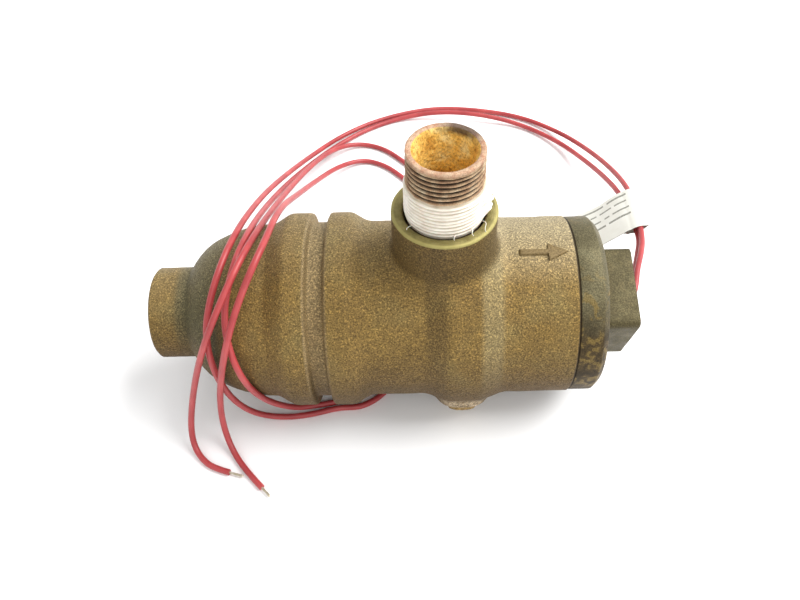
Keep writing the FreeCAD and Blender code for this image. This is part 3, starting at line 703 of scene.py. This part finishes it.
def cut_bores(block):
    """Cuts the inside of the casting and trims its three ends with two turned cutters."""
    inside = rounded(
        [(-4.0, 0), (-4.0, 26.0), (9.4, 26.0), (0.0, 16.6), (0.0, 13.4), (1.1, PORT_RADIUS),
         (18.0, PORT_RADIUS), (18.0, 11.0), (24.0, 11.0, 1.0), (44.0, 21.0, 1.0), (50.0, 21.0),
         (50.0, 24.0), (92.0, 24.0), (92.0, 26.5), (134.0, 26.5), (134.0, 28.0), (150.2, 28.0),
         (150.2, 28.6), (154.4, 28.6), (154.4, 32.75), (147.3, 39.85), (158.0, 39.85), (158.0, 0)])
    inside = [p - np.array([HALF, 0]) for p in inside]
    outlet = [(45.0, 0), (45.0, 11.0), (BOSS_TOP - 20, 11.0), (BOSS_TOP - 20, PORT_RADIUS),
              (BOSS_TOP - 2.2, 13.3), (BOSS_TOP - 0.4, 14.2), (BOSS_TOP, 14.55), (BOSS_TOP, 17.55),
              (BOSS_TOP - 3, 20.55), (BOSS_TOP + 4, 20.55), (BOSS_TOP + 4, 0)]
    segments = 120
    for profile, axis, centre in ((inside, "X", (0, 0, AXIS)), (outlet, "Z", (OUTLET_X, 0, 0))):
        outline = [p for p in profile if p[1] > 0]
        points, faces = revolved(outline, segments, axis, centre, closed=False)
        ends = np.array([centre, centre], float)
        ends[:, 0 if axis == "X" else 2] = outline[0][0], outline[-1][0]
        points = close_ends(points, faces, segments, ends)
        cutter = add_mesh("cutter", points, faces, "cast_bronze")
        bm = bmesh.new()
        bm.from_mesh(cutter.data)
        bmesh.ops.recalc_face_normals(bm, faces=bm.faces)
        bm.to_mesh(cutter.data)
        bm.free()
        cut = block.modifiers.new("bore", "BOOLEAN")
        cut.operation = "DIFFERENCE"
        cut.solver = "EXACT"
        cut.object = cutter
        apply_modifiers(block)
        bpy.data.objects.remove(cutter)


# ---- leads

LEAD_DIAMETER = 2.4
LEAD_ROUTES = {
    "lead_run_1": [
        (85.35, 0.0, 38.25), (89.85, 0.0, 38.25), (92.6, 2.3, 38.5), (94.4, 7.0, 38.8),
        (96.3, 14.3, 39.0), (100.8, 25.7, 38.0), (103.4, 35.2, 36.0), (105.6, 53.0, 33.0),
        (106.5, 72.9, 28.5), (105.2, 96.4, 19.5), (100.1, 123.6, 9.0), (89.8, 146.3, 2.5),
        (71.0, 162.4, 1.3), (48.0, 169.9, 1.3), (23.7, 173.0, 1.3), (2.5, 168.4, 1.3),
        (-16.0, 160.2, 1.3), (-31.6, 147.1, 2.5), (-42.9, 124.6, 10.0), (-50.1, 94.4, 25.0),
        (-54.2, 60.1, 44.0), (-55.1, 27.5, 62.0), (-55.6, 3.2, 73.0), (-58.1, -9.9, 72.5),
        (-61.3, -18.2, 66.5), (-63.9, -24.5, 58.0), (-64.1, -29.7, 48.5), (-63.0, -31.8, 35.0),
        (-61.0, -29.4, 17.0), (-55.4, -27.4, 5.0), (-45.2, -27.1, 1.3), (-34.0, -26.0, 1.3),
        (-23.6, -23.0, 1.3), (-12.5, -23.0, 1.3), (-2.0, -14.0, 1.3), (4.0, 1.0, 1.3),
        (8.0, 17.0, 1.3), (16.0, 34.0, 1.3), (28.0, 49.0, 1.3), (37.0, 65.0, 1.3), (38.5, 84.0, 1.3),
        (31.0, 101.0, 1.3), (17.0, 112.0, 1.3), (3.9, 127.8, 1.3), (-6.3, 138.5, 1.3),
        (-18.9, 143.3, 1.3), (-30.3, 136.3, 5.0), (-38.3, 116.9, 14.0), (-43.8, 87.8, 28.0),
        (-46.1, 53.4, 47.0), (-46.8, 20.4, 66.0), (-47.5, -3.7, 78.2), (-50.4, -16.4, 79.0),
        (-55.0, -23.7, 73.0), (-60.1, -29.1, 64.5), (-65.7, -32.0, 52.5), (-72.5, -31.0, 34.0),
        (-77.5, -32.3, 18.0), (-79.6, -36.3, 7.5), (-78.2, -41.3, 2.2), (-73.6, -46.5, 1.3),
        (-68.7, -49.1, 1.3), (-63.9, -50.6, 1.3)],
    "lead_run_2": [
        (85.35, 0.0, 35.75), (89.75, 0.0, 35.75), (92.4, 2.3, 35.6), (94.1, 6.8, 35.5),
        (95.9, 14.4, 35.3), (100.4, 27.5, 34.3), (103.6, 37.4, 32.5), (104.1, 56.6, 29.0),
        (103.2, 75.1, 24.5), (101.4, 94.9, 16.5), (97.5, 116.2, 8.0), (88.6, 137.9, 2.5),
        (70.2, 155.7, 1.3), (48.3, 161.5, 4.5), (25.1, 165.3, 4.5), (3.7, 164.9, 1.5),
        (-14.3, 156.6, 1.3), (-29.8, 143.3, 2.0), (-41.9, 121.8, 8.0), (-49.1, 90.9, 23.0),
        (-51.8, 54.0, 44.0), (-50.7, 17.7, 66.8), (-50.9, -3.9, 76.5), (-53.3, -13.9, 73.8),
        (-55.7, -20.1, 67.5), (-56.4, -26.2, 61.0), (-55.7, -30.6, 52.5), (-53.4, -34.8, 44.8),
        (-51.3, -33.9, 32.0), (-47.5, -29.1, 16.0), (-40.4, -23.7, 2.8), (-31.8, -21.8, 1.3),
        (-17.0, -18.8, 1.3), (-7.0, -10.5, 1.3), (-1.8, 3.0, 1.3), (2.5, 18.5, 1.3), (10.5, 36.0, 1.3),
        (20.5, 50.0, 1.3), (27.5, 65.0, 1.3), (27.0, 81.0, 1.3), (19.0, 95.0, 1.3), (3.8, 114.7, 1.3),
        (-5.7, 124.9, 1.3), (-17.5, 129.9, 1.3), (-30.0, 119.9, 5.5), (-38.2, 93.8, 19.0),
        (-40.3, 51.6, 48.5), (-40.2, 17.6, 73.9), (-41.1, -8.9, 83.2), (-44.4, -18.8, 81.3),
        (-49.2, -23.0, 72.5), (-52.9, -29.7, 65.5), (-56.6, -33.9, 55.5), (-61.2, -34.2, 40.0),
        (-65.4, -33.5, 22.5), (-66.8, -35.1, 8.0), (-63.9, -41.4, 1.8), (-58.1, -49.5, 1.3),
        (-50.7, -57.1, 1.3)],
}


def make_lead(name, node):
    curve = bpy.data.curves.new(name, "CURVE")
    curve.dimensions = "3D"
    spline = curve.splines.new("NURBS")
    route = LEAD_ROUTES[name]
    spline.points.add(len(route) - 1)
    for point, place in zip(spline.points, route):
        point.co = (*(Vector(place) * MM), 1)
    spline.order_u = 3
    spline.use_endpoint_u = True
    curve.resolution_u = 10
    curve.bevel_depth = LEAD_DIAMETER / 2 * MM
    curve.bevel_resolution = 5
    curve.use_fill_caps = True
    curve.materials.append(LOOKS["lead_insulation"])
    lead = add_object(name, curve)
    finish_piece(lead, "lead_insulation", node)


def make_strands(name, route, length, node):
    """Seven bare strands that twist and splay a little past a lead's cut end."""
    end, before = np.array(route[-1]), np.array(route[-2])
    way = (end - before) / np.linalg.norm(end - before)
    side = np.cross(way, [0, 0, 1.0])
    side /= np.linalg.norm(side)
    lift = np.cross(side, way)
    points, faces = [], []
    source = np.random.default_rng(len(name) + int(name[-1]))
    rings, corners, wire_radius = 15, 8, 0.145
    for strand in range(7):
        turn = strand * 2 * math.pi / 6
        spread = 0.0 if strand == 6 else 0.31
        reach = length * source.uniform(0.88, 1.0)
        lean = source.uniform(-0.05, 0.05)
        first = len(points)
        for ring in range(rings):
            t = ring / (rings - 1)
            angle = turn + 2.4 * t
            off = spread * (1 + 0.15 * t * t)
            centre = (end + way * (reach * t - 0.6 * (1 - t)) + side * (off * math.cos(angle) + lean * t)
                      + lift * off * math.sin(angle))
            for k in range(corners):
                a = k * math.pi / 4
                points.append(centre + wire_radius * (side * math.cos(a) + lift * math.sin(a)))
        faces.extend(grid_faces(rings, corners, first))
        faces.append([first + k for k in reversed(range(corners))])
        faces.append([first + (rings - 1) * corners + k for k in range(corners)])
    strands = add_mesh(name, points, faces, "tinned_copper")
    return finish_piece(strands, "tinned_copper", node)


def make_leads():
    one = make_strands("bare_strands_1", LEAD_ROUTES["lead_run_1"], 6.0, "conductor_end_1")
    two = make_strands("bare_strands_2", LEAD_ROUTES["lead_run_2"], 5.0, "conductor_end_2")
    make_lead("lead_run_1", "lead_wire_1")
    make_lead("lead_run_2", "lead_wire_2")


# ---- bonnet

HEAD_TURN = math.radians(17.0)


def head_place(x, y, z):
    """A point of the head, given across its flats, turned about the casting's axis."""
    return (x, -(y * math.cos(HEAD_TURN) + z * math.sin(HEAD_TURN)),
            AXIS + (-y * math.sin(HEAD_TURN) + z * math.cos(HEAD_TURN)))


def square_ring(x, side, corner, count=96):
    """Points round a square with round corners, across the casting's axis at one station."""
    core = side / 2 - corner
    points = []
    for number in range(count):
        angle = 2 * math.pi * number / count
        way = np.array([math.cos(angle), math.sin(angle)])
        low, high = 0.0, side
        for _ in range(30):
            middle = (low + high) / 2
            q = np.abs(way * middle) - core
            far = np.hypot(*np.maximum(q, 0)) + min(max(q[0], q[1]), 0.0) - corner
            low, high = (middle, high) if far < 0 else (low, middle)
        points.append(head_place(x, *(way * low)))
    return points


def round_ring(x, radius, count=96):
    angles = [2 * math.pi * number / count for number in range(count)]
    return [head_place(x, radius * math.cos(angle), radius * math.sin(angle)) for angle in angles]


def make_bonnet():
    profile = rounded(
        [(station - HALF, *rest) for station, *rest in (
            (117.0, 5.0), (117.0, 10.0, 0.4), (147.0, 10.0, 1.0), (147.0, 23.5, 1.0), (134.0, 23.5),
            (134.0, 27.95, 0.5), (150.2, 27.95), (150.2, 25.6), (154.4, 25.6), (154.4, 32.9, 0.7),
            (162.6, 32.9, 0.7), (164.8, 30.8, 0.9), (164.8, 8.0), (158.0, 5.0))],
        0.25, closed=True)
    points, faces = revolved(profile, 256)
    flange = add_mesh("bonnet_flange", points, faces, "bonnet_bronze")
    flange.data.set_sharp_from_angle(angle=math.radians(40))
    square = [(FLANGE_X - 1.0, 32.0, 2.4), (FLANGE_X + 0.05, 31.9, 2.4), (FLANGE_X + 0.5, 31.5, 2.2),
              (FLANGE_X + 1.2, 31.4, 2.1), (FLANGE_X + 6.0, 31.4, 2.0), (HALF - 1.0, 31.3, 2.0),
              (HALF - 0.6, 31.2, 2.0), (HALF - 0.25, 30.9, 2.0), (HALF - 0.06, 30.5, 2.0), (HALF, 29.9, 2.0)]
    hole = [(HALF, 8.9), (HALF - 0.1, 8.5), (HALF - 0.4, 8.15), (HALF - 0.9, 8.02), (HALF - 4.2, 8.02)]
    rings = [square_ring(*ring) for ring in square] + [round_ring(*ring) for ring in hole]
    points = [p for ring in rings for p in ring]
    head = add_mesh("bonnet_head", points, grid_faces(len(rings), len(rings[0])), "bonnet_bronze")
    join(flange, head)
    wobble(flange, 0.05, 9.0, 21, keep=lambda p: (p[:, 0] > JOINT_X + 0.6) & (p[:, 0] < HALF - 0.2))
    finish_piece(flange, "bonnet_bronze", "bonnet")
    resin = [(79.4, 7.95), (84.4, 7.98), (84.95, 7.7), (84.75, 6.9), (84.9, 5.0), (85.1, 3.0), (85.2, 0.02)]
    points, faces = revolved(resin, 64, closed=False)
    plug = add_mesh("potting_face", points, faces, "potting_resin")
    finish_piece(plug, "potting_resin", "potting_plug")


def wobble(thing, height, size, seed, keep):
    """A faint cast unevenness over the kept points, moved along each point's own normal."""
    mesh = thing.data
    points = mesh_points(mesh)
    normals = np.zeros(len(mesh.vertices) * 3)
    mesh.vertex_normals.foreach_get("vector", normals)
    lift = np.where(keep(points), height * (ripple(points, size, seed) - 1.0), 0.0)
    move_points(mesh, points + normals.reshape(-1, 3) * lift[:, None])


# ---- nipple and tape

PITCH = 1.814
THREAD_START = 101.3
TURN_STEPS = 288


def helix_wave(turn, height, sharp):
    """0 at a thread's root and 1 at its crest, at an angle and a height in mm."""
    phase = (height / PITCH - turn / (2 * math.pi)) % 1.0
    wave = 1.0 - np.abs(2 * phase - 1)
    return np.clip(wave * sharp - 0.25, 0, 1)


def ripple_polar(angles, heights, seed=8):
    """The same smooth unevenness on a cylinder, one row for each height."""
    a, z = np.meshgrid(angles, heights)
    points = np.stack([13 * np.cos(a).ravel(), 13 * np.sin(a).ravel(), z.ravel()], 1)
    return ripple(points, 3.5, seed).reshape(a.shape)


def outlet_ring(angles, radius, z):
    return np.stack([OUTLET_X + radius * np.cos(angles), radius * np.sin(angles),
                     np.broadcast_to(z, angles.shape)], 1)


def make_nipple():
    start, mouth = BOSS_TOP - 9.0, NIPPLE_TOP - 1.2
    heights = np.concatenate([np.linspace(start, THREAD_START - 0.5, 12),
                              np.linspace(THREAD_START, NIPPLE_TOP - 0.35, 150)])
    angles = circle(TURN_STEPS)
    points = []
    for z, uneven in zip(heights, ripple_polar(angles, heights)):
        threaded = np.clip((z - THREAD_START) / 0.6, 0, 1) * np.clip((NIPPLE_TOP - 1.7 - z) / 0.5, 0, 1)
        crest = 12.85 - (z - THREAD_START) * 0.012
        root = threaded * (1.0 - helix_wave(angles, z, 1.7)) * 1.2
        radius = np.minimum(crest - root - 0.07 + 0.07 * uneven, 13.0)
        if z < THREAD_START:
            radius = 12.2 if z < BOSS_TOP + 1 else 12.7
        points.extend(outlet_ring(angles, radius, z))
    rim = [(0.1, 12.6), (0.02, 12.25), (0.0, 11.8), (0.05, 11.1), (0.25, 10.75), (0.7, 10.55)]
    for drop, radius in rim:
        z = NIPPLE_TOP - drop
        uneven = 0.05 * ripple_polar(angles, z)[0]
        points.extend(outlet_ring(angles, radius + uneven, z - np.abs(uneven)))
    for z in np.linspace(mouth, start, 70):
        uneven = 0.3 * ripple_polar(angles, z * 1.7, 4)[0]
        crust = 1.3 * (1 - math.exp(-(mouth - z) / 5.0))
        points.extend(outlet_ring(angles, NIPPLE_BORE + 0.03 - np.abs(uneven) - crust, z))
    faces = grid_faces(len(points) // TURN_STEPS, TURN_STEPS, closed=True)
    nipple = add_mesh("nipple_threaded", points, faces, "rusty_steel", "bore_deposit")
    for polygon in nipple.data.polygons:
        middle = polygon.center / MM
        if math.hypot(middle.x - OUTLET_X, middle.y) < 10.72:
            polygon.material_index = 1
    finish_piece(nipple, "rusty_steel", "outlet_nipple")


def make_inlet_thread():
    """The female thread cut inside the inlet's mouth."""
    segments, first, last = 192, 1.2, 17.6
    stations = np.linspace(first, last, 170)
    angles = circle(segments)
    points = []
    for station in stations:
        depth = np.clip(station - first, 0, 1) * np.clip((last - station) / 1.5, 0, 1)
        radius = 12.3 - 0.75 * depth * helix_wave(angles, station, 1.7) + 0.02 * (station - first) * depth
        points.extend(np.stack([np.full(segments, station - HALF), radius * np.cos(angles),
                                AXIS + radius * np.sin(angles)], 1))
    faces = grid_faces(len(stations), segments)
    thread = add_mesh("inlet_thread", points, faces, "turned_bronze")
    finish_piece(thread, "turned_bronze")


# Each loose strand of tape: where it starts, its way and how far it curls.
TAPE_STRANDS = (((30.4, -7.6, 89.6), (0.55, -0.75, -0.35), 1.6), ((8.2, -8.4, 89.3), (-0.5, -0.75, 0.2), 0.9),
                ((21.5, -13.2, 89.4), (0.2, -0.9, -0.1), 0.7), ((26.5, -11.4, 89.7), (0.5, -0.8, 0.1), 1.1))


def make_tape():
    low, high = BOSS_TOP - 1.3, THREAD_START + 0.5
    angles = circle(TURN_STEPS)
    points = []
    for z in np.linspace(low, high, 120):
        wave = helix_wave(angles, z * 1.25, 1.3)
        wrap = 0.1 * np.sin(angles + z * 2.1) + 0.05 * np.sin(angles * 3 + z * 5.0)
        edge = 0.15 * np.sin(angles * 5) + 0.25 * np.sin(angles * 11)
        top = np.clip((high - 0.35 + edge * 0.6 - z) / 0.5, 0, 1)
        radius = 12.75 + (0.32 + 0.52 * wave + wrap * 0.6) * top
        frayed = np.clip((np.cos(angles - 0.1) - 0.8) / 0.16, 0, 1)
        frayed = frayed * np.clip((z - BOSS_TOP - 0.3) / 2.0, 0, 1) * np.clip((high - 0.4 - z) / 3.0, 0, 1)
        ragged = 1.7 + 0.45 * np.sin(z * 1.9 + angles * 13) + 0.3 * np.sin(z * 4.1 - angles * 23)
        radius = radius + frayed * ragged
        if z < BOSS_TOP + 0.4:
            radius = np.minimum(radius, 13.05 + 0.2 * (z - low))
        points.extend(outlet_ring(angles, radius, z))
    for z in (high, low):
        points.extend(outlet_ring(angles, 12.2, z))
    faces = grid_faces(len(points) // TURN_STEPS, TURN_STEPS, closed=True)
    rings, corners, strand_radius = 13, 6, 0.13
    for start, way, curl in TAPE_STRANDS:
        first = len(points)
        for ring in range(rings):
            t = ring / (rings - 1)
            bend = np.array([math.sin(t * 5.5) * 0.5, math.cos(t * 4.0) * 0.3, math.sin(t * 3.1) * 0.9])
            centre = np.array(start) + np.array(way) * t * curl * 3.0 + bend * curl
            for k in range(corners):
                a = k * math.pi / 3
                points.append(centre + strand_radius * np.array([math.cos(a), 0.0, math.sin(a)]))
        faces.extend(grid_faces(rings, corners, first))
    tape = add_mesh("tape_wound", points, faces, "ptfe_tape")
    finish_piece(tape, "ptfe_tape", "thread_tape")


# ---- label

LABEL_FOOT = np.array([103.2, 39.8, 33.6])
LABEL_ALONG = np.array([0.08, 0.975, -0.19])
LABEL_ACROSS = np.array([-0.87, -0.11, -0.47])

# Grey bars in place of print: how far along the label, and from where to where across it.
LABEL_BARS = ((0.1, 0.5, 9.5), (0.1, 11.5, 24.0), (0.26, 1.0, 6.5), (0.26, 8.0, 14.0), (0.26, 15.5, 21.5),
              (0.43, 0.5, 8.0), (0.43, 9.5, 12.0), (0.43, 14.0, 19.0), (0.6, 0.5, 10.5), (0.6, 12.0, 18.0))


def make_label():
    """A film folded round both leads: a loop at the fold and a flag that curls a little."""
    along = LABEL_ALONG / np.linalg.norm(LABEL_ALONG)
    normal = np.cross(along, LABEL_ACROSS)
    normal /= np.linalg.norm(normal)
    across = np.cross(normal, along)
    flat = np.linspace(29.8, 2.6, 90)
    lift = 2.3 * np.exp(-((flat - 2.2) / 9.0) ** 2)
    near = [(u, v + 0.16) for u, v in zip(flat, lift)]
    loop = []
    for k in range(41):
        angle = math.pi * (0.37 + 1.48 * k / 40)
        loop.append((4.9 * math.cos(angle), 2.6 * math.sin(angle)))
    far = [(u, v - 0.16) for u, v in zip(flat[::-1], lift[::-1]) if u > 5.4]
    outline = near + loop + far
    rows = 110
    points = []
    for row in range(rows):
        t = row / (rows - 1)
        for u, v in outline:
            flag = max(u - 6.0, 0.0)
            wave = 0.22 * math.sin(flag * 0.3 + t * 2.2) * min(flag / 6, 1)
            curl = 0.001 * flag ** 2 * (1 - 2 * t) + wave
            below = min(max((1.6 - v) / 3.4, 0.0), 1.0)
            recess = 3.4 * (1 - t) ** 2 * below * min(max((8.0 - u) / 4.0, 0.0), 1.0)
            points.append(LABEL_FOOT + along * (0.2 + recess + 29.6 * t)
                          + across * (u - 0.004 * abs(v)) + normal * (v + curl))
    count = len(outline)
    faces = [(a, a + 1, a + 1 + count, a + count)
             for row in range(rows - 1) for a in range(row * count, row * count + count - 1)]
    film = add_mesh("lead_label_film", points, faces, "label_film", "label_print")
    for polygon in film.data.polygons:
        middle = np.array(polygon.center) / MM - LABEL_FOOT
        t, u = middle @ along / 30.0, middle @ across
        if middle @ normal > 0 and any(abs(1 - t - at) < 0.02 and low < u < high
                                       for at, low, high in LABEL_BARS):
            polygon.material_index = 1
    finish_piece(film, "label_film", "lead_label")


# ---- pieces inside

SPRING_START, SPRING_END = -17.35, 26.65


def make_spring():
    """The shuttle's return spring, wound with its end turns closed."""
    turns, mean, wire = 9, 6.6, 0.55
    steps, sides = 40 * turns, 12
    dead = 1.2 / turns
    points = []
    for step in range(steps + 1):
        t = step / steps
        rise = np.interp(t, [0, dead, 1 - dead, 1], [0.0, 0.02, 0.98, 1.0])
        angle = 2 * math.pi * turns * t
        out = np.array([0.0, math.cos(angle), math.sin(angle)])
        along = SPRING_START + wire + (SPRING_END - SPRING_START - 2 * wire) * rise
        centre = np.array([along, 0, AXIS]) + out * mean
        for side in range(sides):
            a = 2 * math.pi * side / sides
            points.append(centre + wire * (out * math.cos(a) + np.array([1.0, 0, 0]) * math.sin(a)))
    faces = [(a, d, c, b) for a, b, c, d in grid_faces(steps + 1, sides)]
    faces.append(range(sides))
    faces.append([steps * sides + side for side in reversed(range(sides))])
    spring = add_mesh("spring_wound", points, faces, "spring_steel")
    finish_piece(spring, "spring_steel", "return_spring")
    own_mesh(spring)


INSIDE_LOOKS = {
    "seal_rubber": ("bonnet_o_ring",), "turned_bronze": ("orifice_seat", "shuttle_body"),
    "stem_brass": ("stem_tube", "stem_tip_plug", "magnet_retainer"),
    "spring_steel": ("stem_retaining_ring", "spring_washer"), "sleeve_plastic": ("reed_sleeve",),
    "reed_glass": ("reed_glass",), "reed_metal": ("reed_fixed_blade", "reed_moving_blade", "reed_leads"),
    "solder": ("solder_joints",), "lead_insulation": ("inner_leads",), "ferrite": ("shuttle_magnet",)}


def finish_inside():
    """Carried-over CAD pieces keep their shape and get the same kind of finished material."""
    for look, nodes in INSIDE_LOOKS.items():
        for node in nodes:
            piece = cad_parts[node]
            if not piece.material_slots:
                piece.data.materials.append(LOOKS[look])
            for slot in piece.material_slots:
                slot.material = LOOKS[look]


# Name, dark, light, roughness, metallic, grain size, bump depth and stretch.
SIMPLE_LOOKS = (
    ("arrow_bronze", (0.105, 0.068, 0.022), (0.215, 0.15, 0.058), 0.6, 0.35, 0.6, 0.3),
    ("turned_bronze", (0.42, 0.3, 0.14), (0.58, 0.44, 0.22), 0.34, 0.85, 0.7, 0.05, (3, 0.3, 0.3)),
    ("stem_brass", (0.55, 0.42, 0.18), (0.7, 0.56, 0.28), 0.28, 0.9, 0.9, 0.03, (3, 0.3, 0.3)),
    ("spring_steel", (0.42, 0.42, 0.43), (0.6, 0.6, 0.61), 0.3, 0.95, 0.8, 0.03, (0.4, 2, 2)),
    ("seal_rubber", (0.012, 0.012, 0.012), (0.03, 0.03, 0.03), 0.6, 0.0, 0.6, 0.04),
    ("sleeve_plastic", (0.62, 0.6, 0.52), (0.75, 0.73, 0.66), 0.45, 0.0, 1.2, 0.03),
    ("reed_metal", (0.55, 0.53, 0.48), (0.7, 0.68, 0.62), 0.3, 0.9, 0.5, 0.02),
    ("solder", (0.5, 0.51, 0.52), (0.68, 0.69, 0.7), 0.35, 0.85, 0.7, 0.05),
    ("ferrite", (0.035, 0.035, 0.04), (0.07, 0.07, 0.075), 0.6, 0.2, 0.4, 0.06),
    ("potting_resin", (0.01, 0.01, 0.011), (0.028, 0.026, 0.025), 0.3, 0.0, 1.6, 0.08),
    ("tinned_copper", (0.52, 0.44, 0.28), (0.8, 0.76, 0.66), 0.35, 0.85, 0.9, 0.02),
    ("label_film", (0.66, 0.65, 0.58), (0.72, 0.71, 0.65), 0.38, 0.0, 6.0, 0.04),
    ("label_print", (0.16, 0.16, 0.13), (0.34, 0.34, 0.29), 0.5, 0.0, 0.5, 0.01))


def make_materials():
    cast_bronze()
    bonnet_bronze()
    rusty_steel()
    bore_deposit()
    ptfe_tape()
    lead_insulation()
    for look in SIMPLE_LOOKS:
        simple(*look)
    simple("reed_glass", (0.7, 0.86, 0.74), (0.8, 0.93, 0.83), 0.05, 0.0, 2.0, 0.01, clear=0.85)


make_materials()
make_camera()
make_studio()
make_leads()
make_casting()
make_arrow()
make_bonnet()
make_nipple()
make_inlet_thread()
make_tape()
make_label()
make_spring()
finish_inside()
